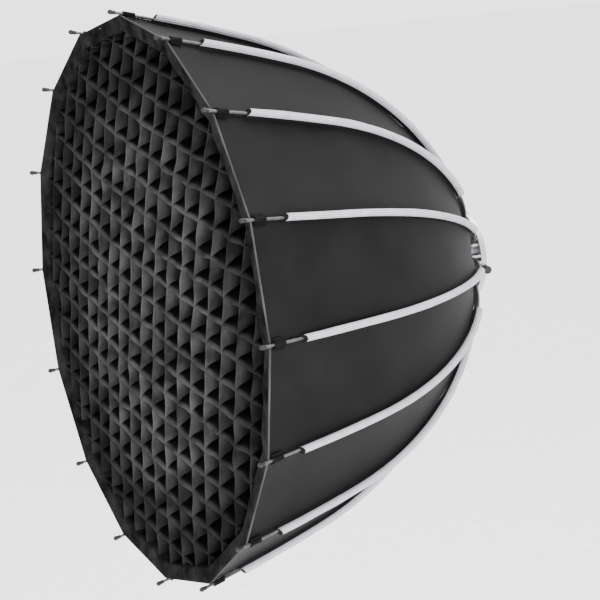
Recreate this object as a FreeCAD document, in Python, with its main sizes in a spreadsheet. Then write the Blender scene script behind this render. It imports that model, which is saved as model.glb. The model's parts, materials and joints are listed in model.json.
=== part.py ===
"""Deep sixteen-rib parabolic softbox with a fabric egg-crate grid and a lamp bayonet.

Frame: millimetres, +Z up.  The light axis is the Y axis: the lamp end is at +Y and the
open mouth faces -Y.  The origin is the centre of the bayonet flange's rear seating face.
Rib 01 points straight up (+Z) and the numbers run from +Z towards +X.
"""
import FreeCAD, Part
import math
import os

import Sketcher

Vec = FreeCAD.Vector
AXIS = Vec(0, 1, 0)
ORIGIN = Vec(0, 0, 0)
NAME = "Dims"

# Driving dimensions: millimetres and degrees.
DIMENSIONS = {
    "rib_count": 16,
    # lamp bayonet and its bearing
    "lamp_bore": 98, "neck_diameter": 112, "neck_length": 12,
    "lug_diameter": 124, "lug_thickness": 3.5, "lug_angle": 40, "lug_count": 3, "lug_start": 15,
    "flange_diameter": 150, "flange_thickness": 5,
    "spigot_diameter": 126, "spigot_length": 19,
    "retainer_diameter": 142, "retainer_thickness": 3,
    "screw_count": 6, "screw_circle": 112, "screw_start": 30, "screw_diameter": 3,
    "screw_head": 5.6, "screw_length": 11, "screw_head_height": 1.6, "screw_recess": 2,
    # hub ring and the rib clevises on it
    "bearing_clearance": 0.05, "axial_clearance": 0.3, "retainer_clearance": 1,
    "hub_diameter": 212, "hub_front": 20, "hub_chamfer": 3,
    "ear_radius": 8, "ear_thickness": 5, "ear_root": 2, "slot_width": 8.6, "slot_relief": 3,
    "hinge_radius": 92, "hinge_setback": 32, "pin_diameter": 4, "pin_clearance": 0.05,
    # rib carrier
    "tongue_width": 8, "eye_radius": 6, "tongue_height": 9, "tongue_overlap": 4,
    "barrel_start": 18, "barrel_end": 44, "barrel_diameter": 12,
    # rib rod: a straight run, then three tangent arcs
    "rod_diameter": 6, "rod_start": 20, "rod_slope": 21.5, "straight_run": 46,
    "rear_arc_radius": 410, "rear_arc_angle": 13.2,
    "middle_arc_radius": 806, "middle_arc_angle": 37.3,
    "front_arc_radius": 3500, "front_arc_angle": 5.1,
    "cap_ball": 10.5, "cap_collar": 8.4, "cap_length": 16, "cap_overhang": 5,
    # fabric
    "rim_setback": 780, "seam_gap": 9.5, "rim_gap": 5, "gap_run": 90,
    "panel_thickness": 0.8, "lining_gap": 0.4, "lining_thickness": 0.5,
    "panel_stations": 15, "panel_rear_length": 22,
    "sleeve_inner": 8.4, "sleeve_outer": 16, "sleeve_rear_gap": 3, "sleeve_rim_distance": 72,
    "loop_inner": 7, "loop_outer": 9.6, "loop_length": 25, "loop_rim_distance": 5,
    "binding_width": 4, "binding_thickness": 3, "binding_gap": 0.5,
    "grid_pitch": 60, "grid_depth": 50, "grid_inset": 1, "strip_thickness": 1.2, "strip_slot": 1.8,
    "strip_end_gap": 0.5, "slot_end_gap": 2, "slot_clearance": 0.3,
    "border_apothem": 557, "border_thickness": 2, "tape_width": 25, "tape_thickness": 2,
    "front_diffuser_distance": 68, "front_diffuser_apothem": 562, "diffuser_thickness": 0.8,
    "hem_width": 24, "hem_thickness": 1, "hem_gap": 0.1,
    "inner_diffuser_distance": 400, "inner_diffuser_apothem": 424,
    "tab_count": 8, "tab_length": 30, "tab_width": 22, "tab_lap": 15,
    # rotation lock
    "lock_angle": 101.25, "lock_shank": 6, "lock_head": 18, "lock_head_length": 14,
    "lock_setback": 12.5, "lock_grooves": 12, "groove_radius": 1.5, "groove_outset": 0.6,
    "lock_tip_gap": 0.3, "lock_seat_gap": 2,
}

THROUGH = 100.0  # length of the tools that cut right through a piece


def make_sheet(doc):
    """Spreadsheet with one aliased cell for each driving dimension."""
    sheet = doc.addObject("Spreadsheet::Sheet", NAME)
    for row, (alias, value) in enumerate(DIMENSIONS.items(), start=1):
        sheet.set("A%d" % row, alias)
        sheet.set("B%d" % row, str(value))
        sheet.setAlias("B%d" % row, alias)
    doc.recompute()
    return sheet


def cell(alias):
    """Expression text for one cell of the sheet."""
    return NAME + "." + alias


def about_axis(degrees):
    """Placement that turns a piece about the light axis."""
    return FreeCAD.Placement(ORIGIN, FreeCAD.Rotation(AXIS, degrees))


def rib_angles(sheet):
    """Angles of the ribs about the light axis, from +Z towards +X."""
    count = int(sheet.rib_count)
    return [360.0 * k / count for k in range(count)]


def rib_segments(sheet):
    """The rod's centre line from the hinge to the tip, as (kind, data) in the (y, z) plane."""
    slope = math.radians(sheet.rod_slope)
    y = -float(sheet.hinge_setback)
    z = float(sheet.hinge_radius)
    run = float(sheet.straight_run)
    segments = [("line", (y, z), slope, run)]
    y -= run * math.sin(slope)
    z += run * math.cos(slope)
    for part in ("rear", "middle", "front"):
        radius = float(getattr(sheet, part + "_arc_radius"))
        span = math.radians(getattr(sheet, part + "_arc_angle"))
        centre = (y - radius * math.cos(slope), z - radius * math.sin(slope))
        segments.append(("arc", centre, slope, span, radius))
        slope += span
        y = centre[0] + radius * math.cos(slope)
        z = centre[1] + radius * math.sin(slope)
    return segments


def rib_length(sheet):
    """Length of the rod's centre line, from hinge to tip."""
    return sum(seg[3] if seg[0] == "line" else seg[3] * seg[4] for seg in rib_segments(sheet))


def rib_point(sheet, distance):
    """Point and slope of the centre line at a distance from the hinge."""
    segments = rib_segments(sheet)
    for seg in segments:
        length = seg[3] if seg[0] == "line" else seg[3] * seg[4]
        if distance <= length or seg is segments[-1]:
            break
        distance -= length
    if seg[0] == "line":
        slope = seg[2]
        return (seg[1][0] - distance * math.sin(slope), seg[1][1] + distance * math.cos(slope), slope)
    slope = seg[2] + distance / seg[4]
    return (seg[1][0] + seg[4] * math.cos(slope), seg[1][1] + seg[4] * math.sin(slope), slope)


def distance_at(sheet, behind_rim):
    """Distance along the centre line to where it lies this far behind the rim plane."""
    target = behind_rim - float(sheet.rim_setback)
    low, high = 0.0, rib_length(sheet)
    for _ in range(50):
        middle = (low + high) / 2
        if rib_point(sheet, middle)[0] > target:
            low = middle
        else:
            high = middle
    return (low + high) / 2


def rib_wire(sheet, start, end):
    """Wire of tangent edges along the centre line between two distances from the hinge."""
    edges = []
    travelled = 0.0
    for seg in rib_segments(sheet):
        length = seg[3] if seg[0] == "line" else seg[3] * seg[4]
        first = max(start, travelled)
        last = min(end, travelled + length)
        if last - first > 1e-6:
            a = rib_point(sheet, first + 1e-9)
            b = rib_point(sheet, last - 1e-9)
            if seg[0] == "line":
                edges.append(Part.makeLine(Vec(0, a[0], a[1]), Vec(0, b[0], b[1])))
            else:
                c = rib_point(sheet, (first + last) / 2)
                arc = Part.Arc(Vec(0, a[0], a[1]), Vec(0, c[0], c[1]), Vec(0, b[0], b[1]))
                edges.append(arc.toShape())
        travelled += length
    return Part.Wire(edges)


def rib_tube(sheet, start, end, outer, inner=0.0):
    """Tube, or rod when inner is zero, along the centre line."""
    path = rib_wire(sheet, start, end)
    at = rib_point(sheet, start)
    along = Vec(0, -math.sin(at[2]), math.cos(at[2]))

    def sweep(diameter):
        ring = Part.Wire(Part.makeCircle(diameter / 2, Vec(0, at[0], at[1]), along))
        return path.makePipeShell([ring], True, False)

    shape = sweep(outer)
    if inner:
        shape = shape.cut(sweep(inner))
    return shape


def polar_group(shape, angles):
    """Separate copies of one piece, turned about the light axis."""
    copies = []
    for angle in angles:
        copy = shape.copy()
        copy.rotate(ORIGIN, AXIS, angle)
        copies.append(copy)
    return Part.makeCompound(copies)


def add_feature(doc, label, shape):
    """Part::Feature for a piece that is neither a primitive nor a PartDesign body."""
    feature = doc.addObject("Part::Feature", label)
    feature.Label = label
    feature.Shape = shape
    feature.Placement = FreeCAD.Placement()
    return feature


def add_cylinder(doc, name, radius, length, start):
    """Part::Cylinder along +Y; radius, length and start are expressions."""
    cylinder = doc.addObject("Part::Cylinder", name)
    cylinder.setExpression("Radius", radius)
    cylinder.setExpression("Height", length)
    cylinder.Placement = FreeCAD.Placement(ORIGIN, FreeCAD.Rotation(Vec(1, 0, 0), -90))
    cylinder.setExpression("Placement.Base.y", start)
    return cylinder


def cut(doc, label, base, tool):
    """Part::Cut of two objects."""
    result = doc.addObject("Part::Cut", label)
    result.Label = label
    result.Base = base
    result.Tool = tool
    return result


def fuse(doc, name, pieces):
    """Part::MultiFuse of several objects."""
    result = doc.addObject("Part::MultiFuse", name)
    result.Shapes = pieces
    return result


def origin_plane(body, role):
    """The body's own origin plane or axis with this role."""
    return next(f for f in body.Origin.OriginFeatures if f.Role == role)


def add_sketch(body, name, role):
    """Sketch on one of the body's origin planes."""
    sketch = body.newObject("Sketcher::SketchObject", name)
    sketch.AttachmentSupport = [(origin_plane(body, role), "")]
    sketch.MapMode = "FlatFace"
    return sketch


def add_polyline(sketch, points):
    """Closed outline of straight lines."""
    count = len(points)
    for i in range(count):
        a = Vec(points[i][0], points[i][1], 0)
        b = Vec(points[(i + 1) % count][0], points[(i + 1) % count][1], 0)
        sketch.addGeometry(Part.LineSegment(a, b), False)
    for i in range(count):
        sketch.addConstraint(Sketcher.Constraint("Coincident", i, 2, (i + 1) % count, 1))


def bind_point(sketch, line, kind, value, expression):
    """Dimension from the sketch's origin to a line's first point, bound to the sheet."""
    index = sketch.addConstraint(Sketcher.Constraint(kind, -1, 1, line, 1, value))
    sketch.setExpression("Constraints[%d]" % index, expression)


def bayonet_ring(doc, sheet):
    """Lamp mount: flange and the rear neck with three lugs."""
    s = cell
    flange = add_cylinder(doc, "flange_disc", s("flange_diameter") + " / 2", s("flange_thickness"),
                          "-" + s("flange_thickness"))
    neck = add_cylinder(doc, "neck_tube", s("neck_diameter") + " / 2", s("neck_length"), "0")
    lugs = []
    for k in range(int(sheet.lug_count)):
        lug = add_cylinder(doc, "lug_%d" % (k + 1), s("lug_diameter") + " / 2", s("lug_thickness"),
                           "%s - %s" % (s("neck_length"), s("lug_thickness")))
        lug.setExpression("Angle", s("lug_angle"))
        turn = FreeCAD.Rotation(AXIS, 360.0 * k / int(sheet.lug_count) + sheet.lug_start)
        lug.Placement.Rotation = turn.multiply(FreeCAD.Rotation(Vec(1, 0, 0), -90))
        lugs.append(lug)
    solid = fuse(doc, "bayonet_solid", [flange, neck] + lugs)
    bore = add_cylinder(doc, "lamp_bore_tool", s("lamp_bore") + " / 2", str(THROUGH),
                        str(-THROUGH / 2))
    return cut(doc, "bayonet_ring", solid, bore)


def bearing_spigot(doc, sheet):
    """Tube on the front of the bayonet ring that the hub turns on, drilled for the screws."""
    s = cell
    start = "-%s - %s" % (s("flange_thickness"), s("spigot_length"))
    tube = add_cylinder(doc, "spigot_tube", s("spigot_diameter") + " / 2", s("spigot_length"), start)
    bore = add_cylinder(doc, "spigot_bore", s("lamp_bore") + " / 2", str(THROUGH), str(-THROUGH / 2))
    front = -float(sheet.flange_thickness + sheet.spigot_length)
    holes = screw_holes(doc, sheet, "spigot_screw_holes", front, float(sheet.screw_length))
    return cut(doc, "bearing_spigot", tube, fuse(doc, "spigot_cuts", [bore, holes]))


def screw_holes(doc, sheet, name, start, depth):
    """Tool for the ring of screw holes, from this height along the axis."""
    hole = Part.makeCylinder(sheet.screw_diameter / 2, depth, Vec(0, start, sheet.screw_circle / 2), AXIS)
    tool = doc.addObject("Part::Feature", name)
    tool.Shape = polar_group(hole, screw_angles(sheet))
    return tool


def screw_angles(sheet):
    """Angles of the retainer screws."""
    count = int(sheet.screw_count)
    return [360.0 * k / count + sheet.screw_start for k in range(count)]


def retainer_ring(doc, sheet):
    """Front ring that keeps the hub on the spigot."""
    s = cell
    start = "-%s - %s - %s" % (s("flange_thickness"), s("spigot_length"), s("retainer_thickness"))
    disc = add_cylinder(doc, "retainer_disc", s("retainer_diameter") + " / 2",
                        s("retainer_thickness"), start)
    bore = add_cylinder(doc, "retainer_bore", s("lamp_bore") + " / 2", str(THROUGH), str(-THROUGH / 2))
    holes = screw_holes(doc, sheet, "retainer_screw_holes", -THROUGH / 2, THROUGH)
    return cut(doc, "retainer_ring", disc, fuse(doc, "retainer_cuts", [bore, holes]))


def retainer_screws(doc, sheet):
    """Button-head screws, one solid each."""
    seat = -float(sheet.flange_thickness + sheet.spigot_length + sheet.retainer_thickness)
    at = Vec(0, seat, sheet.screw_circle / 2)
    shank = Part.makeCylinder(sheet.screw_diameter / 2, sheet.screw_length, at, AXIS)
    head = Part.makeCylinder(sheet.screw_head / 2, sheet.screw_head_height, at, AXIS * -1)
    drive = Part.makeCylinder(sheet.screw_recess / 2, sheet.screw_head_height / 2,
                              at - AXIS * float(sheet.screw_head_height), AXIS)
    screw = shank.fuse(head).cut(drive)
    return add_feature(doc, "retainer_screws", polar_group(screw, screw_angles(sheet)))


def hub_ring(doc, sheet):
    """Turning ring with a clevis for every rib."""
    body = doc.addObject("PartDesign::Body", "hub_blank")
    bore = sheet.spigot_diameter / 2 + sheet.bearing_clearance
    outer = sheet.hub_diameter / 2
    rear = -(sheet.flange_thickness + sheet.axial_clearance)
    web = -(sheet.flange_thickness + sheet.spigot_length - sheet.axial_clearance)
    front = -float(sheet.hub_front)
    step = sheet.retainer_diameter / 2 + sheet.retainer_clearance
    chamfer = float(sheet.hub_chamfer)
    section = add_sketch(body, "ring_section", "YZ_Plane")
    add_polyline(section, [(rear, bore), (rear, outer - chamfer), (rear - chamfer, outer),
                           (front, outer), (front, step), (web, step), (web, bore)])
    bind_point(section, 0, "DistanceX", rear, "-%s - %s" % (cell("flange_thickness"),
                                                              cell("axial_clearance")))
    bind_point(section, 0, "DistanceY", bore, "%s / 2 + %s" % (cell("spigot_diameter"),
                                                                 cell("bearing_clearance")))
    ring = body.newObject("PartDesign::Revolution", "ring")
    ring.Profile = section
    ring.ReferenceAxis = (origin_plane(body, "Y_Axis"), [""])
    ring.Angle = 360
    doc.recompute()

    hinge_y = -float(sheet.hinge_setback)
    hinge_z = float(sheet.hinge_radius)
    ear_sketch = add_sketch(body, "ear_outline", "YZ_Plane")
    ear_outline(ear_sketch, hinge_y, hinge_z, float(sheet.ear_radius), front + sheet.ear_root)
    ears = body.newObject("PartDesign::Pad", "ears")
    ears.Profile = ear_sketch
    ears.Midplane = True
    ears.setExpression("Length", "%s + 2 * %s" % (cell("slot_width"), cell("ear_thickness")))
    doc.recompute()

    slot_sketch = add_sketch(body, "slot_outline", "YZ_Plane")
    ear_outline(slot_sketch, hinge_y, hinge_z, sheet.ear_radius + sheet.slot_relief, front)
    slot = body.newObject("PartDesign::Pocket", "slot")
    slot.Profile = slot_sketch
    slot.Midplane = True
    slot.setExpression("Length", cell("slot_width"))
    doc.recompute()

    pin_sketch = add_sketch(body, "pin_outline", "YZ_Plane")
    pin_sketch.addGeometry(Part.Circle(Vec(hinge_y, hinge_z, 0), Vec(0, 0, 1),
                                       sheet.pin_diameter / 2), False)
    index = pin_sketch.addConstraint(Sketcher.Constraint("Diameter", 0, float(sheet.pin_diameter)))
    pin_sketch.setExpression("Constraints[%d]" % index, cell("pin_diameter"))
    pin_hole = body.newObject("PartDesign::Pocket", "pin_hole")
    pin_hole.Profile = pin_sketch
    pin_hole.Midplane = True
    pin_hole.setExpression("Length", "2 * (%s + 2 * %s)" % (cell("slot_width"), cell("ear_thickness")))
    doc.recompute()

    pattern = body.newObject("PartDesign::PolarPattern", "clevises")
    pattern.Originals = [ears, slot, pin_hole]
    pattern.Axis = (origin_plane(body, "Y_Axis"), [""])
    pattern.Angle = 360
    pattern.setExpression("Occurrences", cell("rib_count"))
    body.Tip = pattern
    doc.recompute()

    holes = doc.addObject("Part::Feature", "lock_screw_holes")
    hole = Part.makeCylinder(sheet.lock_shank / 2 + sheet.bearing_clearance, outer,
                             Vec(0, -sheet.lock_setback, sheet.lamp_bore / 2), Vec(0, 0, 1))
    holes.Shape = polar_group(hole, lock_angles(sheet))
    return cut(doc, "hub_ring", body, holes)


def ear_outline(sketch, y, z, radius, root):
    """Closed outline of an ear: straight sides from the root and a round end about the pin."""
    sketch.addGeometry(Part.LineSegment(Vec(root, z - radius, 0), Vec(root, z + radius, 0)), False)
    sketch.addGeometry(Part.LineSegment(Vec(root, z + radius, 0), Vec(y, z + radius, 0)), False)
    circle = Part.Circle(Vec(y, z, 0), Vec(0, 0, 1), radius)
    sketch.addGeometry(Part.ArcOfCircle(circle, math.pi / 2, 3 * math.pi / 2), False)
    sketch.addGeometry(Part.LineSegment(Vec(y, z - radius, 0), Vec(root, z - radius, 0)), False)
    for first, end, second, start in ((0, 2, 1, 1), (1, 2, 2, 1), (2, 2, 3, 1), (3, 2, 0, 1)):
        sketch.addConstraint(Sketcher.Constraint("Coincident", first, end, second, start))


def lock_angles(sheet):
    """The two lock screws sit on opposite sides of the hub."""
    return [float(sheet.lock_angle), float(sheet.lock_angle) + 180]


def hinge_pins(doc, sheet):
    """Pins through the clevises, one solid each."""
    length = sheet.slot_width + 2 * sheet.ear_thickness
    pin = Part.makeCylinder(sheet.pin_diameter / 2, length,
                            Vec(-length / 2, -sheet.hinge_setback, sheet.hinge_radius), Vec(1, 0, 0))
    return add_feature(doc, "hinge_pins", polar_group(pin, rib_angles(sheet)))


def lock_knob(doc, sheet, number, angle):
    """Thumb screw that locks the hub on its spigot: shank and grooved head."""
    tip = sheet.spigot_diameter / 2 + sheet.lock_tip_gap
    seat = sheet.hub_diameter / 2 + sheet.lock_seat_gap
    at = Vec(0, -sheet.lock_setback, tip)
    out = Vec(0, 0, 1)
    shank = Part.makeCylinder(sheet.lock_shank / 2, seat - tip, at, out)
    base = Vec(0, -sheet.lock_setback, seat)
    head = Part.makeCylinder(sheet.lock_head / 2, sheet.lock_head_length, base, out)
    grooves = []
    reach = sheet.lock_head / 2 + sheet.groove_outset
    for k in range(int(sheet.lock_grooves)):
        turn = 2 * math.pi * k / int(sheet.lock_grooves)
        centre = base + Vec(math.cos(turn), math.sin(turn), 0) * reach
        grooves.append(Part.makeCylinder(sheet.groove_radius, sheet.lock_head_length, centre, out))
    knob = shank.fuse(head.cut(grooves[0].multiFuse(grooves[1:])))
    feature = add_feature(doc, "lock_knob_%d" % number, knob)
    feature.Placement = about_axis(angle)
    return feature


def rib_rod(doc, sheet, number, angle):
    """Sprung rod and the ball cap on its end, as two solids."""
    body = doc.addObject("PartDesign::Body", "rod_%02d" % number)
    path = add_sketch(body, "rod_path_%02d" % number, "YZ_Plane")
    start = rib_point(sheet, float(sheet.rod_start))
    corner = rib_point(sheet, float(sheet.straight_run))
    path.addGeometry(Part.LineSegment(Vec(start[0], start[1], 0), Vec(corner[0], corner[1], 0)), False)
    for seg in rib_segments(sheet)[1:]:
        span = seg[3]
        if seg is rib_segments(sheet)[-1]:
            span -= sheet.cap_overhang / seg[4]
        circle = Part.Circle(Vec(seg[1][0], seg[1][1], 0), Vec(0, 0, 1), seg[4])
        path.addGeometry(Part.ArcOfCircle(circle, seg[2], seg[2] + span), False)
    for k in range(3):
        path.addConstraint(Sketcher.Constraint("Coincident", k, 2, k + 1, 1))
    for k, part in enumerate(("rear", "middle", "front"), start=1):
        alias = part + "_arc_radius"
        index = path.addConstraint(Sketcher.Constraint("Radius", k, float(getattr(sheet, alias))))
        path.setExpression("Constraints[%d]" % index, cell(alias))
    section = body.newObject("Sketcher::SketchObject", "rod_section_%02d" % number)
    section.AttachmentSupport = [(path, "Edge1")]
    section.MapMode = "NormalToEdge"
    section.MapPathParameter = 0
    section.addGeometry(Part.Circle(ORIGIN, Vec(0, 0, 1), sheet.rod_diameter / 2), False)
    section.addConstraint(Sketcher.Constraint("Coincident", 0, 3, -1, 1))
    index = section.addConstraint(Sketcher.Constraint("Diameter", 0, float(sheet.rod_diameter)))
    section.setExpression("Constraints[%d]" % index, cell("rod_diameter"))
    pipe = body.newObject("PartDesign::AdditivePipe", "rod_pipe_%02d" % number)
    pipe.Profile = section
    pipe.Spine = (path, ["Edge1", "Edge2", "Edge3", "Edge4"])
    doc.recompute()

    tip = rib_point(sheet, rib_length(sheet))
    along = Vec(0, -math.sin(tip[2]), math.cos(tip[2]))
    end = Vec(0, tip[0], tip[1])
    radius = sheet.cap_ball / 2
    rear = end - along * float(sheet.cap_length)
    collar = Part.makeCylinder(sheet.cap_collar / 2, sheet.cap_length - radius, rear, along)
    ball = Part.makeSphere(radius, end - along * radius)
    cap = collar.fuse(ball).cut(body.Shape)
    both = doc.addObject("Part::Feature", "rib_rod_%02d" % number)
    both.Label = "rib_rod_%02d" % number
    both.Shape = Part.makeCompound([body.Shape, cap])
    both.Placement = about_axis(angle)
    return both


def rib_carrier(doc, sheet, number, angle):
    """Hinge block: an eye on the clevis pin, a tongue and a barrel that grips the rod."""
    hinge = Vec(0, -sheet.hinge_setback, sheet.hinge_radius)
    slope = math.radians(sheet.rod_slope)
    along = Vec(0, -math.sin(slope), math.cos(slope))
    width = float(sheet.tongue_width)
    side = Vec(1, 0, 0)
    eye = Part.makeCylinder(sheet.eye_radius, width, hinge - side * (width / 2), side)
    tongue = Part.makeBox(width, sheet.tongue_height, sheet.barrel_start + sheet.tongue_overlap)
    tongue.translate(Vec(-width / 2, -sheet.tongue_height / 2, 0))
    tongue.rotate(ORIGIN, side, math.degrees(slope))
    tongue.translate(hinge)
    barrel = Part.makeCylinder(sheet.barrel_diameter / 2, sheet.barrel_end - sheet.barrel_start,
                               hinge + along * float(sheet.barrel_start), along)
    socket = Part.makeCylinder(sheet.rod_diameter / 2, sheet.barrel_end,
                               hinge + along * float(sheet.rod_start), along)
    bore = Part.makeCylinder(sheet.pin_diameter / 2 + sheet.pin_clearance, width * 2,
                             hinge - side * width, side)
    carrier = eye.multiFuse([tongue, barrel]).cut(socket.fuse(bore)).removeSplitter()
    feature = add_feature(doc, "rib_carrier_%02d" % number, carrier)
    feature.Placement = about_axis(angle)
    return feature


def polygon_ring(sheet, outer, inner, start, depth):
    """Prism ring with the ribs' polygon as its outline; outer and inner are apothems."""
    count = int(sheet.rib_count)

    def prism(apothem):
        corner = apothem / math.cos(math.pi / count)
        points = []
        for k in range(count + 1):
            turn = 2 * math.pi * k / count
            points.append(Vec(corner * math.sin(turn), start, corner * math.cos(turn)))
        return Part.Face(Part.makePolygon(points)).extrude(Vec(0, depth, 0))

    ring = prism(outer)
    if inner:
        ring = ring.cut(prism(inner))
    return ring


def seam_point(sheet, distance, extra):
    """Seam of the canopy below the rod: (y, z) this far along, moved inwards by extra."""
    y, z, slope = rib_point(sheet, distance)
    behind = y + float(sheet.rim_setback)
    share = min(1.0, max(0.0, behind / float(sheet.gap_run)))
    gap = sheet.rim_gap + (sheet.seam_gap - sheet.rim_gap) * share + extra
    return (y - gap * math.cos(slope), z - gap * math.sin(slope))


def canopy_gore(sheet, extra, thickness):
    """One flat-sided strip of fabric between two ribs, centred on the first panel."""
    half = math.pi / int(sheet.rib_count)
    count = int(sheet.panel_stations)
    first = float(sheet.panel_rear_length)
    last = distance_at(sheet, 0.0)
    sections = []
    for k in range(count + 1):
        at = first + (last - first) * k / count
        outer = seam_point(sheet, at, extra)
        inner = seam_point(sheet, at, extra + thickness)
        corners = [(outer, -1), (outer, 1), (inner, 1), (inner, -1)]
        points = []
        for (y, z), side in corners:
            points.append(Vec(side * z * math.sin(half), y, z * math.cos(half)))
        points.append(points[0])
        sections.append(Part.makePolygon(points))
    gore = Part.makeLoft(sections, True, True)
    gore.rotate(ORIGIN, AXIS, math.degrees(half))
    return gore


def canopy(doc, sheet):
    """Outer panels and silver lining, one solid for each gore."""
    angles = rib_angles(sheet)
    outer = canopy_gore(sheet, 0.0, float(sheet.panel_thickness))
    lining = canopy_gore(sheet, sheet.panel_thickness + sheet.lining_gap, float(sheet.lining_thickness))
    return [add_feature(doc, "shell_panels", polar_group(outer, angles)),
            add_feature(doc, "shell_lining", polar_group(lining, angles))]


def sleeves(doc, sheet):
    """Stitched sleeves over the rods."""
    start = sheet.barrel_end + sheet.sleeve_rear_gap
    end = distance_at(sheet, float(sheet.sleeve_rim_distance))
    tube = rib_tube(sheet, start, end, float(sheet.sleeve_outer), float(sheet.sleeve_inner))
    return add_feature(doc, "rib_sleeves", polar_group(tube, rib_angles(sheet)))


def corner_loops(doc, sheet):
    """Webbing loops that hold the rods at the rim corners."""
    near = distance_at(sheet, float(sheet.loop_rim_distance))
    tube = rib_tube(sheet, near - sheet.loop_length, near, float(sheet.loop_outer),
                    float(sheet.loop_inner))
    return add_feature(doc, "corner_loops", polar_group(tube, rib_angles(sheet)))


def rim_binding(doc, sheet):
    """Piping along the rim edge."""
    corner = seam_point(sheet, distance_at(sheet, 0.0), 0.0)
    apothem = corner[1] * math.cos(math.pi / int(sheet.rib_count))
    start = corner[0] - sheet.binding_thickness - sheet.binding_gap
    ring = polygon_ring(sheet, apothem, apothem - sheet.binding_width, start,
                        float(sheet.binding_thickness))
    return add_feature(doc, "rim_binding", ring)


def strip_length(sheet, offset):
    """Half length of a grid strip at this offset from the centre, inside the border."""
    count = int(sheet.rib_count)
    apothem = sheet.border_apothem - sheet.strip_end_gap
    best = apothem * 2
    for k in range(count):
        turn = 2 * math.pi * k / count
        along = math.cos(turn)
        if along > 1e-6:
            best = min(best, (apothem - offset * math.sin(turn)) / along)
    return best


def grid_strips(doc, sheet, label, turn, slot_in_front):
    """Parallel strips with half-depth slots, one solid each, crossing the other set."""
    pitch = float(sheet.grid_pitch)
    depth = float(sheet.grid_depth)
    front = -float(sheet.rim_setback) + sheet.grid_inset
    thickness = float(sheet.strip_thickness)
    reach = int(sheet.border_apothem / pitch)
    strips = []
    for k in range(-reach, reach + 1):
        offset = k * pitch
        half = min(strip_length(sheet, offset + thickness / 2), strip_length(sheet, offset - thickness / 2))
        points = slotted_outline(sheet, half, front, depth, slot_in_front)
        face = Part.Face(Part.makePolygon([Vec(offset - thickness / 2, y, z) for y, z in points]))
        strips.append(face.extrude(Vec(thickness, 0, 0)))
    group = Part.makeCompound(strips)
    feature = add_feature(doc, label, group)
    feature.Placement = about_axis(turn)
    return feature


def slotted_outline(sheet, half, front, depth, slot_in_front):
    """Comb outline of a strip in the (y, z) plane, from one end to the other and back."""
    pitch = float(sheet.grid_pitch)
    slot = float(sheet.strip_slot) / 2
    middle = front + depth / 2
    count = int((half - slot - sheet.slot_end_gap) / pitch)
    half = min(half, (count + 1) * pitch - slot)
    slotted, plain = (front, front + depth) if slot_in_front else (front + depth, front)
    points = [(plain, -half), (slotted, -half)]
    for k in range(-count, count + 1):
        z = k * pitch
        overlap = float(sheet.slot_clearance) if slot_in_front else -float(sheet.slot_clearance)
        points += [(slotted, z - slot), (middle + overlap, z - slot),
                   (middle + overlap, z + slot), (slotted, z + slot)]
    points += [(slotted, half), (plain, half), (plain, -half)]
    return points


def grid(doc, sheet):
    """Egg-crate grid: two crossing sets of strips in a border with a hook-and-loop lip."""
    half_step = 180.0 / int(sheet.rib_count)
    upright = grid_strips(doc, sheet, "grid_upright_strips", half_step, True)
    level = grid_strips(doc, sheet, "grid_level_strips", half_step + 90, False)
    apothem = float(sheet.border_apothem)
    front = -float(sheet.rim_setback) + sheet.grid_inset
    wall = polygon_ring(sheet, apothem + sheet.border_thickness, apothem, front,
                        float(sheet.grid_depth))
    lip = polygon_ring(sheet, apothem + sheet.tape_width, apothem, front, float(sheet.tape_thickness))
    border = add_feature(doc, "grid_border", wall.fuse(lip).removeSplitter())
    return [upright, level, border]


def front_diffuser(doc, sheet):
    """White front cloth and the hook-and-loop hem around it."""
    at = -float(sheet.rim_setback) + sheet.front_diffuser_distance
    apothem = float(sheet.front_diffuser_apothem)
    cloth = polygon_ring(sheet, apothem, 0, at, float(sheet.diffuser_thickness))
    hem = polygon_ring(sheet, apothem, apothem - sheet.hem_width,
                       at + sheet.diffuser_thickness + sheet.hem_gap, float(sheet.hem_thickness))
    return [add_feature(doc, "front_diffuser", cloth), add_feature(doc, "front_diffuser_hem", hem)]


def inner_diffuser(doc, sheet):
    """Smaller inner cloth with hanging tabs on every second rib."""
    at = -float(sheet.rim_setback) + sheet.inner_diffuser_distance
    apothem = float(sheet.inner_diffuser_apothem)
    cloth = polygon_ring(sheet, apothem, 0, at, float(sheet.diffuser_thickness))
    corner = apothem / math.cos(math.pi / int(sheet.rib_count))
    tab = Part.makeBox(sheet.tab_width, sheet.hem_thickness, sheet.tab_length)
    tab.translate(Vec(-sheet.tab_width / 2, at + sheet.diffuser_thickness + sheet.hem_gap,
                      corner - sheet.tab_lap))
    angles = [360.0 * k / int(sheet.tab_count) for k in range(int(sheet.tab_count))]
    return [add_feature(doc, "inner_diffuser", cloth),
            add_feature(doc, "inner_diffuser_tabs", polar_group(tab, angles))]


def build(doc, sheet):
    """Every sub-part, in order from the lamp end to the mouth."""
    parts = [bayonet_ring(doc, sheet), bearing_spigot(doc, sheet), retainer_ring(doc, sheet),
             retainer_screws(doc, sheet), hub_ring(doc, sheet), hinge_pins(doc, sheet)]
    for number, angle in enumerate(lock_angles(sheet), start=1):
        parts.append(lock_knob(doc, sheet, number, angle))
    for number, angle in enumerate(rib_angles(sheet), start=1):
        parts.append(rib_carrier(doc, sheet, number, angle))
        parts.append(rib_rod(doc, sheet, number, angle))
    parts += canopy(doc, sheet)
    parts += [sleeves(doc, sheet), corner_loops(doc, sheet), rim_binding(doc, sheet)]
    parts += grid(doc, sheet)
    parts += front_diffuser(doc, sheet)
    parts += inner_diffuser(doc, sheet)
    return parts


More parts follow.
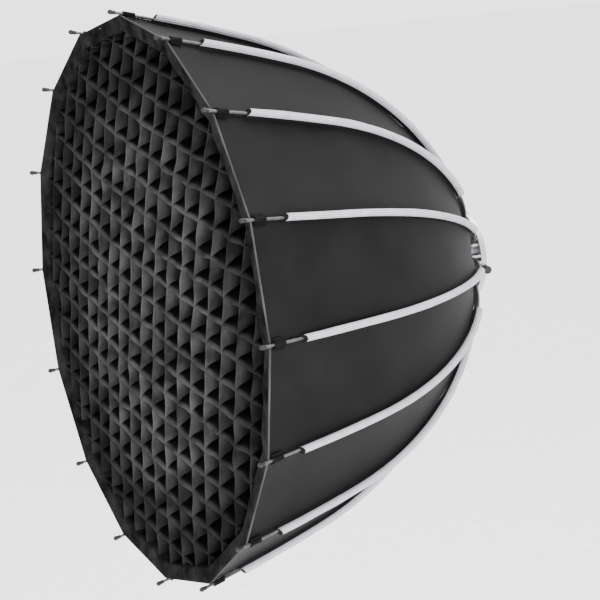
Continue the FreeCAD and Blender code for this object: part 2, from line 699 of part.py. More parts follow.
def check_and_export(doc, parts):
    """Refuse failed objects and bad shapes, then write one STEP file for each sub-part."""
    for item in doc.Objects:
        if "Invalid" in item.State or "Error" in item.State:
            raise RuntimeError("%s failed: %s" % (item.Label, item.State))
    for item in parts:
        if item.Shape.isNull() or not item.Shape.isValid():
            raise RuntimeError("%s has no valid shape" % item.Label)
    os.makedirs("parts", exist_ok=True)
    for item in parts:
        item.Shape.exportStep("parts/%s.step" % item.Label)
        box = item.Shape.BoundBox
        print("%-22s solids %3d  volume %10.0f  y %7.1f..%7.1f  z max %6.1f" % (
            item.Label, len(item.Shape.Solids), item.Shape.Volume, box.YMin, box.YMax, box.ZMax))


def main():
    doc = FreeCAD.newDocument("softbox")
    sheet = make_sheet(doc)
    parts = build(doc, sheet)
    doc.recompute()
    check_and_export(doc, parts)


main()
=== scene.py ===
"""Looks of the sixteen-rib softbox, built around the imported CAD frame.  Metres, +Z up, light axis along Y."""
import json
import math

import bpy
import numpy as np
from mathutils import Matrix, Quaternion, Vector, noise

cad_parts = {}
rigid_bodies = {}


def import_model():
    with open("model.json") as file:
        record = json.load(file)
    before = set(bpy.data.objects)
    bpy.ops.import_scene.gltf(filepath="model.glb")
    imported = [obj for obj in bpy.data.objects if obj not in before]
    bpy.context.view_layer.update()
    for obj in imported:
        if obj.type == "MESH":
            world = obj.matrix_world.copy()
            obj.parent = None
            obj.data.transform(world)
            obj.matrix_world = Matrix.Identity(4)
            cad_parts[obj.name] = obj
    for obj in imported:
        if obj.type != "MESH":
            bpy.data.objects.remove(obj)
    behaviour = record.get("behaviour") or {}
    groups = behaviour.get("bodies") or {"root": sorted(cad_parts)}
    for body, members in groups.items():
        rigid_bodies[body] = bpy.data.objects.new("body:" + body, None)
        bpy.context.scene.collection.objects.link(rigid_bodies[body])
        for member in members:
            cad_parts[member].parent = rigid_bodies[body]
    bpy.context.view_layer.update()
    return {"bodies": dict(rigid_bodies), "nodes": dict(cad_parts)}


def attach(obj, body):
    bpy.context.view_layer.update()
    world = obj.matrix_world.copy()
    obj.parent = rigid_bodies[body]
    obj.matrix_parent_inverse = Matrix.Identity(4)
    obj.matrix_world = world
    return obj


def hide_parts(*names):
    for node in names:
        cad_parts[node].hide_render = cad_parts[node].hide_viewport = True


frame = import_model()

# ---------------------------------------------------------------- camera

# Fitted to the sixteen rim corners seen in the photograph.
PHOTO_LENS, SENSOR_WIDTH = 132.07, 36.0
PHOTO_PLACE = (4.2064, -2.4887, 0.8121)
PHOTO_TURN = (0.66627, 0.53110, 0.35758, 0.38229)
camera_data = bpy.data.cameras.new("camera")
camera_data.lens = PHOTO_LENS
camera_data.sensor_width = SENSOR_WIDTH
camera_data.clip_end = 100.0
camera = bpy.data.objects.new("camera", camera_data)
bpy.context.scene.collection.objects.link(camera)
camera.location = PHOTO_PLACE
camera.rotation_mode = "QUATERNION"
camera.rotation_quaternion = Quaternion(PHOTO_TURN)
bpy.context.scene.camera = camera

# ---------------------------------------------------------------- dimensions, as the CAD source has them

RIBS = 16
STEP = 2 * math.pi / RIBS
HINGE_RADIUS = 0.092
HINGE_SETBACK = 0.032
ROD_SLOPE = math.radians(21.5)
STRAIGHT_RUN = 0.046
ARCS = ((0.410, math.radians(13.2)), (0.806, math.radians(37.3)), (3.5, math.radians(5.1)))
RIM_SETBACK = 0.780
SEAM_GAP, RIM_GAP, GAP_RUN = 0.0095, 0.005, 0.090
GRID_DEPTH = 0.050
GRID_FRONT = -0.779
BORDER_APOTHEM = 0.557
FRONT_DIFFUSER_Y, FRONT_DIFFUSER_APOTHEM = -0.712, 0.562
INNER_DIFFUSER_Y, INNER_DIFFUSER_APOTHEM = -0.380, 0.424
RIB_NAMES = ["rib_%02d" % (k + 1) for k in range(RIBS)]


def rib_path(s):
    """Rod centre line: arrays y, r and slope at distances s from the hinge."""
    s = np.atleast_1d(np.asarray(s, float))
    y = np.empty_like(s)
    r = np.empty_like(s)
    slope = np.empty_like(s)
    y0, r0, a0 = -HINGE_SETBACK, HINGE_RADIUS, ROD_SLOPE
    inside = s <= STRAIGHT_RUN
    y[inside] = y0 - s[inside] * math.sin(a0)
    r[inside] = r0 + s[inside] * math.cos(a0)
    slope[inside] = a0
    y0 -= STRAIGHT_RUN * math.sin(a0)
    r0 += STRAIGHT_RUN * math.cos(a0)
    done = STRAIGHT_RUN
    for index, (radius, span) in enumerate(ARCS):
        length = radius * span
        last = index == len(ARCS) - 1
        inside = (s > done) & ((s <= done + length) | last)
        a = a0 + (s[inside] - done) / radius
        cy, cr = y0 - radius * math.cos(a0), r0 - radius * math.sin(a0)
        y[inside] = cy + radius * np.cos(a)
        r[inside] = cr + radius * np.sin(a)
        slope[inside] = a
        a0 += span
        y0, r0 = cy + radius * math.cos(a0), cr + radius * math.sin(a0)
        done += length
    return y, r, slope


PATH_LENGTH = STRAIGHT_RUN + sum(radius * span for radius, span in ARCS)


def path_distance(behind_rim):
    """Distance along the rod to where it lies this far behind the rim plane."""
    s = np.linspace(0, PATH_LENGTH, 4000)
    y = rib_path(s)[0]
    return float(np.interp(-(behind_rim - RIM_SETBACK), -y, s))


RIM_S = path_distance(0.0)


def seam_gap(y):
    """Distance from the rod's centre line to the fabric seam under it."""
    return RIM_GAP + (SEAM_GAP - RIM_GAP) * np.clip((y + RIM_SETBACK) / GAP_RUN, 0, 1)


def seam_path(s, extra=0.0):
    """Fabric seam under the rod: y and r, moved inwards by extra."""
    y, r, slope = rib_path(s)
    gap = seam_gap(y) + extra
    return y - gap * np.cos(slope), r - gap * np.sin(slope)


# ---------------------------------------------------------------- mesh helpers

def new_object(name, verts, faces, uvs=None, smooth=True, material=None):
    """Mesh object from arrays; uvs has one pair per vertex."""
    mesh = bpy.data.meshes.new(name)
    mesh.from_pydata([tuple(v) for v in np.asarray(verts, float)], [], [tuple(f) for f in faces])
    if uvs is not None:
        layer = mesh.uv_layers.new(name="UVMap")
        loops = np.empty(len(mesh.loops), np.int32)
        mesh.loops.foreach_get("vertex_index", loops)
        layer.data.foreach_set("uv", np.asarray(uvs, np.float32)[loops].ravel())
    mesh.polygons.foreach_set("use_smooth", [smooth] * len(mesh.polygons))
    mesh.update()
    obj = bpy.data.objects.new(name, mesh)
    bpy.context.scene.collection.objects.link(obj)
    if material:
        mesh.materials.append(material)
    return obj


def quads(rows, columns, wrap_columns=False, wrap_rows=False, start=0):
    """Faces of a grid of vertices stored row by row."""
    faces = []
    for i in range(rows if wrap_rows else rows - 1):
        for j in range(columns if wrap_columns else columns - 1):
            a = i * columns + j
            b = i * columns + (j + 1) % columns
            c = ((i + 1) % rows) * columns + (j + 1) % columns
            d = ((i + 1) % rows) * columns + j
            faces.append((start + a, start + b, start + c, start + d))
    return faces


def spin(y, r, angle, side=0.0):
    """Point at radius r and height y on the half-plane at this angle from +Z towards +X."""
    return (r * math.sin(angle) + side * math.cos(angle), y,
            r * math.cos(angle) - side * math.sin(angle))


AGAINST_NORMAL, BOTH_SIDES, ALONG_NORMAL = -1.0, 0.0, 1.0


def add_solidify(obj, thickness, offset):
    """Gives a sheet its thickness, to the side that offset names."""
    modifier = obj.modifiers.new("thickness", "SOLIDIFY")
    modifier.thickness = thickness
    modifier.offset = offset


def smoothstep(x):
    """Smooth change from 0 to 1 as x goes from 0 to 1."""
    x = np.clip(x, 0, 1)
    return x * x * (3 - 2 * x)


# ---------------------------------------------------------------- rig for the fabric

def make_rig():
    """One bone for each rib body; fabric skinned to them follows the ribs as they fold."""
    data = bpy.data.armatures.new("fabric_rig")
    rig = bpy.data.objects.new("fabric_rig", data)
    bpy.context.scene.collection.objects.link(rig)
    bpy.context.view_layer.objects.active = rig
    bpy.ops.object.mode_set(mode="EDIT")
    for name in ["hub"] + RIB_NAMES:
        bone = data.edit_bones.new(name)
        bone.head = (0, 0, 0)
        bone.tail = (0, 1, 0)
        bone.roll = 0
    bpy.ops.object.mode_set(mode="OBJECT")
    for name in RIB_NAMES:
        copy = rig.pose.bones[name].constraints.new("COPY_TRANSFORMS")
        copy.target = frame["bodies"][name]
    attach(rig, "hub")
    return rig


LEAST_WEIGHT, WEIGHT_BAND = 1e-4, 5.01e-4      # weights are set in steps of a thousandth


def skin(obj, rig, weights):
    """Rides obj on the hub and skins it; weights has a row per vertex: hub, rib 1 .. rib 16."""
    for column, name in enumerate(["hub"] + RIB_NAMES):
        group = obj.vertex_groups.new(name=name)
        values = weights[:, column]
        for level in np.unique(np.round(values[values > LEAST_WEIGHT], 3)):
            index = np.nonzero(np.abs(values - level) < WEIGHT_BAND)[0]
            group.add(index.tolist(), float(level), "REPLACE")
    modifier = obj.modifiers.new("follow_ribs", "ARMATURE")
    modifier.object = rig
    obj.modifiers.move(len(obj.modifiers) - 1, 0)
    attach(obj, "hub")


PLEAT = 0.17                            # share of the hub's pull midway between two ribs
PLEAT_START, PLEAT_RUN = 0.10, 0.08     # radius where that pull begins, and how far it takes to grow


def rib_weights(points, flat=0.0):
    """Skin weights of fabric points.

    Each point is shared by its two nearest ribs.  A piece across the mouth gives its radius as flat,
    and its middle is shared by all ribs.  Any other piece is held back by the hub between two ribs.
    """
    points = np.asarray(points, float)
    angle = np.arctan2(points[:, 0], points[:, 2]) % (2 * math.pi)
    radius = np.hypot(points[:, 0], points[:, 2])
    place = angle / STEP
    low = np.floor(place).astype(int) % RIBS
    share = place - np.floor(place)
    weights = np.zeros((len(points), RIBS + 1))
    rows = np.arange(len(points))
    weights[rows, 1 + low] += 1 - share
    weights[rows, 1 + (low + 1) % RIBS] += share
    if flat:
        spread = 1 - smoothstep(radius / flat)
        weights[:, 1:] = weights[:, 1:] * (1 - spread)[:, None] + (spread / RIBS)[:, None]
        return weights
    out = smoothstep((radius - PLEAT_START) / PLEAT_RUN)
    hub = PLEAT * out * np.sin(math.pi * share) ** 4
    weights *= (1 - hub)[:, None]
    weights[:, 0] += hub
    return weights


# ---------------------------------------------------------------- materials

class Shader:
    """Small wrapper over a material's node tree."""

    def __init__(self, name):
        self.material = bpy.data.materials.new(name)
        self.material.use_nodes = True
        self.tree = self.material.node_tree
        self.bsdf = self.tree.nodes["Principled BSDF"]

    def node(self, kind, **values):
        """New node with these input values."""
        made = self.tree.nodes.new(kind)
        for key, value in values.items():
            made.inputs[key].default_value = value
        return made

    def link(self, output, socket):
        self.tree.links.new(output, socket)

    def set(self, **values):
        """Sets inputs of the surface; an underscore stands for a space."""
        for key, value in values.items():
            self.bsdf.inputs[key.replace("_", " ")].default_value = value

    def coordinates(self, kind="Object", scale=(1, 1, 1)):
        source = self.node("ShaderNodeTexCoord")
        mapping = self.node("ShaderNodeMapping")
        mapping.inputs["Scale"].default_value = scale
        self.link(source.outputs[kind], mapping.inputs["Vector"])
        return mapping.outputs["Vector"]

    def noise(self, vector, scale, detail=3.0, roughness=0.55):
        made = self.node("ShaderNodeTexNoise", Scale=scale, Detail=detail, Roughness=roughness)
        self.link(vector, made.inputs["Vector"])
        return made.outputs["Fac"]

    def wave(self, vector, scale, direction="X", distortion=0.0):
        made = self.node("ShaderNodeTexWave", Scale=scale, Distortion=distortion)
        made.bands_direction = direction
        self.link(vector, made.inputs["Vector"])
        return made.outputs["Fac"]

    def math(self, operation, a, b=0.0):
        made = self.node("ShaderNodeMath")
        made.operation = operation
        for socket, value in zip(made.inputs, (a, b)):
            if isinstance(value, (int, float)):
                socket.default_value = value
            else:
                self.link(value, socket)
        return made.outputs["Value"]

    def ramp(self, factor, stops):
        made = self.node("ShaderNodeValToRGB")
        elements = made.color_ramp.elements
        while len(elements) < len(stops):
            elements.new(0.5)
        for element, (position, colour) in zip(elements, stops):
            element.position = position
            element.color = (*colour, 1.0)
        self.link(factor, made.inputs["Fac"])
        return made.outputs["Color"]

    def bump(self, height, strength, distance, normal=None):
        made = self.node("ShaderNodeBump", Strength=strength, Distance=distance)
        self.link(height, made.inputs["Height"])
        if normal:
            self.link(normal, made.inputs["Normal"])
        return made.outputs["Normal"]

    def colour(self, output):
        self.link(output, self.bsdf.inputs["Base Color"])

    def normal(self, output):
        self.link(output, self.bsdf.inputs["Normal"])

    def roughness(self, output, low, high):
        made = self.node("ShaderNodeMapRange")
        made.inputs["To Min"].default_value = low
        made.inputs["To Max"].default_value = high
        self.link(output, made.inputs["Value"])
        self.link(made.outputs["Result"], self.bsdf.inputs["Roughness"])

    def smooth_range(self, value, start, end, lowest=0.0):
        """Smooth change from lowest to 1 as value goes from start to end."""
        made = self.node("ShaderNodeMapRange")
        made.interpolation_type = "SMOOTHSTEP"
        made.inputs["From Min"].default_value = start
        made.inputs["From Max"].default_value = end
        made.inputs["To Min"].default_value = lowest
        self.link(value, made.inputs["Value"])
        return made.outputs["Result"]

    def split(self, vector):
        """Separate coordinates of a vector."""
        made = self.node("ShaderNodeSeparateXYZ")
        self.link(vector, made.inputs["Vector"])
        return made.outputs

    def mix(self, factor, a, b):
        """Colour mix: a at factor 0, b at factor 1; b is an output or a plain colour."""
        made = self.node("ShaderNodeMix")
        made.data_type = "RGBA"
        self.link(factor, made.inputs["Factor"])
        self.link(a, made.inputs["A"])
        if isinstance(b, tuple):
            made.inputs["B"].default_value = (*b, 1.0)
        else:
            self.link(b, made.inputs["B"])
        return made.outputs["Result"]


CLOUD_LOW, CLOUD_HIGH = 0.35, 0.68      # noise values where a cloth's dark and light colours are full
THREAD_BUMP = 0.35                      # strength of a weave's bump, and its height as a share of the thread


def grey(level, blue=None):
    """Neutral colour, or one with its own blue."""
    return (level, level, level if blue is None else blue)


def woven(name, dark, light, thread, rough, sheen=0.0, crinkle=0.0004, metallic=0.0, gloss=0.5,
          patch=9.0):
    """Plain-woven cloth: crossing threads and crinkles as fine bump, with a slow colour change."""
    s = Shader(name)
    vector = s.coordinates("UV")
    warp = s.wave(vector, 1.0 / thread / 2, "X")
    weft = s.wave(vector, 1.0 / thread / 2, "Y")
    threads = s.math("MULTIPLY", warp, weft)
    cloud = s.noise(vector, patch, 4.0)
    s.colour(s.ramp(cloud, [(CLOUD_LOW, dark), (CLOUD_HIGH, light)]))
    s.roughness(cloud, rough - 0.06, rough + 0.08)
    fine = s.bump(threads, THREAD_BUMP, thread * THREAD_BUMP)
    s.normal(s.bump(s.noise(vector, 45.0, 5.0), 0.5, crinkle, fine))
    s.set(Sheen_Weight=sheen, Sheen_Roughness=0.45, Metallic=metallic, Specular_IOR_Level=gloss)
    return s.material


CORDS_SCALE, CORDS_SHARE = 78.0, 0.55   # how close the sleeve's cords lie, and their part of its tone
TWILL_SCALE = (900.0, 500.0, 1.0)
SLEEVE_TONES = [(0.18, (0.11, 0.11, 0.13)), (0.45, (0.24, 0.235, 0.27)), (0.8, (0.38, 0.375, 0.41))]


def sleeve_material():
    """Pale ribbed webbing: lengthwise cords, a fine twill and a slow colour change."""
    s = Shader("sleeve_cloth")
    vector = s.coordinates("UV")
    cords = s.wave(vector, CORDS_SCALE, "X", 0.4)
    twill = s.wave(s.coordinates("UV", TWILL_SCALE), 1.0, "DIAGONAL")
    cloud = s.noise(vector, 30.0, 4.0)
    tone = s.math("ADD", s.math("MULTIPLY", cords, CORDS_SHARE),
                  s.math("MULTIPLY", cloud, 1 - CORDS_SHARE))
    s.colour(s.ramp(tone, SLEEVE_TONES))
    s.roughness(cloud, 0.55, 0.75)
    fine = s.bump(twill, 0.3, 0.0003)
    s.normal(s.bump(cords, 0.6, 0.0008, fine))
    s.set(Sheen_Weight=0.05, Sheen_Roughness=0.5, Specular_IOR_Level=0.3)
    return s.material


LINES_SCALE = 420.0                     # how close a metal's fine lines lie


def metal(name, colour, rough, rings=True):
    """Turned metal with fine lines round the light axis, or drawn metal with straight ones."""
    s = Shader(name)
    vector = s.coordinates("Object")
    cloud = s.noise(vector, 60.0, 4.0)
    s.colour(s.ramp(cloud, [(0.3, tuple(c * 0.86 for c in colour)), (0.7, colour)]))
    s.roughness(cloud, rough - 0.05, rough + 0.1)
    lines = s.node("ShaderNodeTexWave", Scale=LINES_SCALE, Distortion=0.6)
    lines.wave_type = "RINGS" if rings else "BANDS"
    if rings:
        lines.rings_direction = "Y"
    s.link(vector, lines.inputs["Vector"])
    s.normal(s.bump(lines.outputs["Fac"], 0.3, 0.0003))
    s.set(Metallic=1.0)
    return s.material


def plastic(name, colour, rough, grain=900.0, gloss=0.5):
    """Moulded plastic with a fine grain."""
    s = Shader(name)
    vector = s.coordinates("Object")
    cloud = s.noise(vector, 25.0, 3.0)
    s.colour(s.ramp(cloud, [(0.3, colour), (0.8, tuple(min(1.0, c * 1.7) for c in colour))]))
    s.roughness(cloud, rough - 0.05, rough + 0.08)
    s.normal(s.bump(s.noise(vector, grain, 2.0), 0.25, 0.0002))
    s.set(Specular_IOR_Level=gloss)
    return s.material


CAP_START = 0.0125                      # the ball cap begins this far in front of the rim plane
ROD_METALLIC = 0.6


def rod_material():
    """Dark sprung rod with a black plastic ball cap beyond the rim."""
    s = Shader("rod_and_cap")
    vector = s.coordinates("Object")
    cap = s.math("LESS_THAN", s.split(vector)["Y"], -RIM_SETBACK - CAP_START)
    cloud = s.noise(vector, 70.0, 4.0)
    rod = s.ramp(cloud, [(0.3, grey(0.035, 0.036)), (0.7, grey(0.075, 0.078))])
    black = s.ramp(cloud, [(0.3, grey(0.006)), (0.8, grey(0.014))])
    s.colour(s.mix(cap, rod, black))
    s.link(s.math("MULTIPLY", s.math("SUBTRACT", 1.0, cap), ROD_METALLIC), s.bsdf.inputs["Metallic"])
    s.roughness(cloud, 0.36, 0.5)
    s.normal(s.bump(s.noise(vector, 500.0, 3.0), 0.15, 0.0002))
    s.set(Specular_IOR_Level=0.15)
    return s.material


PATCH_DARK, PATCH_LIGHT = 0.5, 1.6      # the grid's tone in its darkest and lightest patches
SHADE_START, SHADE_END = 0.56, 0.36       # radii between which the painted shade at the border lifts towards the centre
SHADE_LEAST, SHADE_DRIFT = 0.35, 0.08     # tone of that painted shade at the border, and how far a patch moves that change
GRID_THREADS = 450.0                    # how close the grid cloth's threads lie


def grid_cloth(name, front, deep_shade, start, end):
    """Grid cloth: painted shade takes its tone from front to deep between two depths and darkens it towards the
    border; the tone is also uneven across the mouth.
    """
    s = Shader(name)
    vector = s.coordinates("UV")
    # Painted shade: the tone darkens with depth into the cells.
    depth_shade = s.smooth_range(s.split(vector)["Y"], start, end)
    patch = s.noise(s.coordinates("Object"), 17.0, 3.0, 0.5)
    light = s.ramp(patch, [(0.36, grey(front * PATCH_DARK)), (0.64, grey(front * PATCH_LIGHT))])
    place = s.split(s.coordinates("Object"))
    reach = s.math("SQRT", s.math("ADD", s.math("MULTIPLY", place["X"], place["X"]),
                                  s.math("MULTIPLY", place["Z"], place["Z"])))
    # Painted shade: the tone darkens towards the border.
    border_shade = s.smooth_range(s.math("ADD", reach, s.math("MULTIPLY", patch, SHADE_DRIFT)),
                          SHADE_START, SHADE_END, SHADE_LEAST)
    dim = s.node("ShaderNodeVectorMath")
    dim.operation = "SCALE"
    s.link(s.mix(depth_shade, light, grey(deep_shade)), dim.inputs[0])
    s.link(border_shade, dim.inputs["Scale"])
    s.colour(dim.outputs["Vector"])
    s.roughness(patch, 0.6, 0.8)
    threads = s.math("MULTIPLY", s.wave(vector, GRID_THREADS, "X"), s.wave(vector, GRID_THREADS, "Y"))
    fine = s.bump(threads, THREAD_BUMP, 0.0004)
    s.normal(s.bump(s.noise(vector, 60.0, 5.0), 0.6, 0.0009, fine))
    s.set(Specular_IOR_Level=0.03)
    return s.material


# The tones are what the studio light needs to show the photograph's greys.
# The deep tones are painted shade at the back of the cells and on the level strips' tops.
GRID_UPRIGHT = grid_cloth("grid_cloth_upright", 0.0260, 0.0125, 0.010, 0.045)
GRID_LEVEL = grid_cloth("grid_cloth_level", 0.0245, 0.0018, 0.003, 0.009)
BLACK_NYLON = woven("black_nylon", grey(0.0032, 0.0033), grey(0.0052, 0.0054), thread=0.0009,
                    rough=0.55, sheen=0.012, gloss=0.03)
BLACK_WEBBING = woven("black_webbing", grey(0.0018, 0.0019), grey(0.0050, 0.0052), thread=0.0016,
                      rough=0.7, gloss=0.03)
LOOP_TAPE = woven("hook_and_loop", grey(0.0010), grey(0.013), thread=0.0012, rough=0.9,
                  crinkle=0.002, gloss=0.02, patch=22.0)
SILVER_LINING = woven("silver_lining", (0.60, 0.61, 0.63), (0.80, 0.81, 0.83), thread=0.0012,
                      rough=0.34, crinkle=0.0012, metallic=0.85)
DIFFUSION = woven("diffusion_cloth", grey(0.84), grey(0.92, 0.91), thread=0.0008, rough=0.7, sheen=0.1)
WHITE_HEM = woven("white_hem_tape", grey(0.74), grey(0.84), thread=0.0014, rough=0.75, sheen=0.1)
PIPING = woven("grey_piping", grey(0.016, 0.017), grey(0.042, 0.044), thread=0.0009, rough=0.6,
               gloss=0.05)
SLEEVE = sleeve_material()
ALUMINIUM = metal("turned_aluminium", grey(0.42, 0.44), rough=0.36)
STEEL = metal("bright_steel", grey(0.62, 0.65), rough=0.22, rings=False)
ROD_FINISH = rod_material()
CARRIER_PLASTIC = plastic("black_nylon_plastic", grey(0.008, 0.0085), rough=0.45, gloss=0.2)
KNOB_PLASTIC = plastic("black_knob_plastic", grey(0.008, 0.0085), rough=0.40, gloss=0.2)


def finish_cad(name, material):
    """Gives its material to a CAD node that stays."""
    node = frame["nodes"][name]
    node.data.materials.clear()
    node.data.materials.append(material)


# ---------------------------------------------------------------- canopy and lining

ALONG, ACROSS = 110, 14                 # rows along the ribs, and columns in one panel
CANOPY_START, LINING_START = 0.016, 0.018
LINING_GAP = 0.0016
PANEL_UV = 0.24                         # places the panels side by side in the texture
WRINKLE_SEED = Vector((3.7, 1.9, 8.3))
SAG = 0.0045                            # a panel's fall inwards at its middle
HEM_WIDTH, HEM_FADE = 0.010, 0.060      # wrinkles along the rim begin at the hem and fade behind it
BAND_HEIGHT, BAND_PITCH = 0.0012, 0.016
SLOW_HEIGHT, PUCKER_HEIGHT, GATHER_HEIGHT = 0.0016, 0.0010, 0.0018
SEAM_SHARE = 0.09                       # puckers reach this share of a panel's width from its seams
GATHER_PLACE, GATHER_FADE = 0.03, 0.13  # gathers are deepest here along the rib, and fade from there


def canopy_offset(panel, s, t):
    """How far the fabric stands off the straight chord between two ribs, outwards positive."""
    middle = 4 * t * (1 - t)
    sag = -SAG * middle
    from_rim = RIM_S - s
    hem = math.exp(-(max(0.0, from_rim - HEM_WIDTH) / HEM_FADE) ** 2) * min(1.0, from_rim / HEM_WIDTH)
    phase = noise.noise(Vector((panel * 2.3, t * 3.0, 0.5))) * 1.6
    broken = 0.55 + 0.45 * noise.noise(Vector((panel * 4.1, t * 5.0, from_rim * 30.0)))
    bands = BAND_HEIGHT * hem * broken * math.sin(from_rim / BAND_PITCH * 2 * math.pi + phase) * middle ** 0.5
    where = Vector((panel * 5.1 + t * 2.2, s * 7.0, 0.0)) + WRINKLE_SEED
    slow = SLOW_HEIGHT * noise.noise(where) * middle
    near_seam = math.exp(-(min(t, 1 - t) / SEAM_SHARE) ** 2)
    pucker = PUCKER_HEIGHT * near_seam * noise.noise(Vector((panel * 9.0, s * 46.0, t * 2.0)))
    rear = math.exp(-((s - GATHER_PLACE) / GATHER_FADE) ** 2)
    gather = GATHER_HEIGHT * rear * noise.noise(Vector((panel * 3.0 + t * 9.0, s * 11.0, 4.0))) * middle
    on_seam = t in (0.0, 1.0)
    return sag + bands + slow + pucker * (0 if on_seam else 1) + gather


def canopy_sheet(name, extra, material, rig, first, thickness):
    """One continuous curved sheet round all sixteen ribs, moved inwards by extra."""
    s = np.linspace(first, RIM_S, ALONG)
    y, r = seam_path(s, extra)
    _, _, slope = rib_path(s)
    columns = RIBS * ACROSS
    verts, uvs = [], []
    for i in range(ALONG):
        for j in range(columns):
            panel, part = divmod(j, ACROSS)
            t = part / ACROSS
            a, b = panel * STEP, (panel + 1) * STEP
            middle = (a + b) / 2
            left = Vector(spin(y[i], r[i], a))
            right = Vector(spin(y[i], r[i], b))
            point = left.lerp(right, t)
            out = Vector(spin(math.cos(slope[i]), math.sin(slope[i]), middle))
            point += out * canopy_offset(panel, float(s[i]), t)
            verts.append(point)
            uvs.append((panel * PANEL_UV + t * 2 * r[i] * math.sin(STEP / 2), s[i]))
    obj = new_object(name, verts, quads(ALONG, columns, True), uvs, True, material)
    add_solidify(obj, thickness, AGAINST_NORMAL)
    skin(obj, rig, rib_weights(verts))
    return obj


rig = make_rig()
canopy = canopy_sheet("canopy", 0.0, BLACK_NYLON, rig, CANOPY_START, thickness=0.0006)
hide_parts("shell_panels")
lining = canopy_sheet("canopy_lining", LINING_GAP, SILVER_LINING, rig, LINING_START, thickness=0.0004)
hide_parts("shell_lining")

# ---------------------------------------------------------------- sleeves along the ribs

SLEEVE_START, SLEEVE_END = 0.150, path_distance(0.071)
SLEEVE_ROWS = 120
CHANNEL_POINTS = 18
CHANNEL_SIDE, CHANNEL_TOP = 0.0072, 0.0118      # half width, and height over the rod's centre line
NECK_AND_FLANGE = ((0.45, 0.55), (0.48, 0.80), (0.62, 0.87), (0.62, 0.92))  # shares of side and of base
SLEEVE_LEAN, SLEEVE_SWELL = 0.0012, 0.06        # sideways drift, and uneven share of the girth
SLEEVE_SLANT = 0.010                            # slant of the end at the rim


def rib_point(y, r, slope, up, angle, side):
    """Point beside a rib: up stands outwards from its centre line, side across it."""
    return spin(y + up * math.cos(slope), r + up * math.sin(slope), angle, side)


def sleeve_section(width, top, base):
    """Closed outline (side, outward) of a sewn sleeve: round channel, pinched neck and seam flange."""
    points = []
    for k in range(CHANNEL_POINTS + 1):
        a = -0.30 * math.pi + (1.60 * math.pi) * k / CHANNEL_POINTS
        points.append((width * math.cos(a), top * 0.35 + top * 0.65 * math.sin(a)))
    points += [(-width * side, base * down) for side, down in NECK_AND_FLANGE]
    points += [(width * side, base * down) for side, down in reversed(NECK_AND_FLANGE)]
    return points


def make_sleeve(index):
    """One sleeve; the channel is loose round the rod and slightly uneven along it."""
    rows = SLEEVE_ROWS
    s = np.linspace(SLEEVE_START, SLEEVE_END, rows)
    y, r, slope = rib_path(s)
    angle = index * STEP
    outline = sleeve_section(CHANNEL_SIDE, CHANNEL_TOP, -SEAM_GAP)
    girth = [0.0]
    for a, b in zip(outline, outline[1:] + outline[:1]):
        girth.append(girth[-1] + math.dist(a, b))
    verts, uvs = [], []
    for i in range(rows):
        wobble = noise.noise(Vector((index * 4.7, s[i] * 16.0, 0.0)))
        lean = SLEEVE_LEAN * noise.noise(Vector((index * 3.1 + 40, s[i] * 9.0, 0.0)))
        swell = 1 + SLEEVE_SWELL * wobble
        slant = SLEEVE_SLANT * (i == rows - 1)
        for (side, up), u in zip(outline, girth):
            side_at = side * swell + lean * max(0.0, up / 0.01)
            up_at = up * (swell if up > 0 else 1.0)
            back = slant * (up - outline[0][1]) / 0.02
            yy = y[i] + up_at * math.cos(slope[i]) + back * math.sin(slope[i])
            rr = r[i] + up_at * math.sin(slope[i]) - back * math.cos(slope[i])
            verts.append(spin(yy, rr, angle, side_at))
            uvs.append((u, s[i]))
    columns = len(outline)
    faces = quads(rows, columns, True)
    faces.append(tuple(range(columns)))
    faces.append(tuple(reversed(range((rows - 1) * columns, rows * columns))))
    obj = new_object("rib_sleeve_%02d" % (index + 1), verts, faces, uvs, True, SLEEVE)
    obj.data.materials.append(BLACK_WEBBING)
    # Neck, flange and both end caps take the black webbing. This is the seam's own black, and along the lower
    # edge it is also painted shadow.
    seam_and_shadow = [int(k >= (rows - 1) * columns or k % columns >= CHANNEL_POINTS) for k in range(len(faces))]
    obj.data.polygons.foreach_set("material_index", seam_and_shadow)
    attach(obj, "rib_%02d" % (index + 1))
    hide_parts("rib_sleeves")


# Where the seam ridge shows, behind the sleeve and before it: first and last place, and rows.
RIDGE_RUNS = ((0.052, SLEEVE_START + 0.003, 24), (SLEEVE_END - 0.008, path_distance(0.004), 22))
RIDGE_BASE, RIDGE_WAIST, RIDGE_TOP = 0.0026, 0.0016, 0.0012     # half widths
RIDGE_LIFT, RIDGE_CLEARANCE = 0.0008, 0.0032                    # above the seam, and under the rod
RIDGE_WAVE = 0.0003


def make_ridge(index):
    """Folded seam allowance between the canopy seam and the bare rod, at both ends of the sleeve."""
    angle = index * STEP
    verts, uvs, faces = [], [], []
    for first, last, rows in RIDGE_RUNS:
        start = len(verts)
        s = np.linspace(first, last, rows)
        y, r, slope = rib_path(s)
        gap = seam_gap(y)
        for i in range(rows):
            low, high = -gap[i] + RIDGE_LIFT, -RIDGE_CLEARANCE
            waist = low * 0.7 + high * 0.3
            wave = RIDGE_WAVE * noise.noise(Vector((index * 5.3, s[i] * 60.0, 1.5)))
            section = [(-RIDGE_BASE, low), (-RIDGE_WAIST, waist), (-RIDGE_TOP, high),
                       (RIDGE_TOP, high), (RIDGE_WAIST, waist), (RIDGE_BASE, low)]
            for k, (side, up) in enumerate(section):
                verts.append(rib_point(y[i], r[i], slope[i], up, angle, side + wave))
                uvs.append((k * 0.003, s[i]))
        columns = len(section)
        faces += quads(rows, columns, True, start=start)
        faces.append(tuple(range(start, start + columns)))
        faces.append(tuple(reversed(range(start + (rows - 1) * columns, start + rows * columns))))
    obj = new_object("seam_ridge_%02d" % (index + 1), verts, faces, uvs, False, BLACK_NYLON)
    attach(obj, "rib_%02d" % (index + 1))


for index in range(RIBS):
    make_sleeve(index)
    make_ridge(index)

# ---------------------------------------------------------------- rim: piping and corner loops

PIPING_RADIUS = 0.0022
PIPING_UV = 0.0235                      # length of one row of the piping in the texture


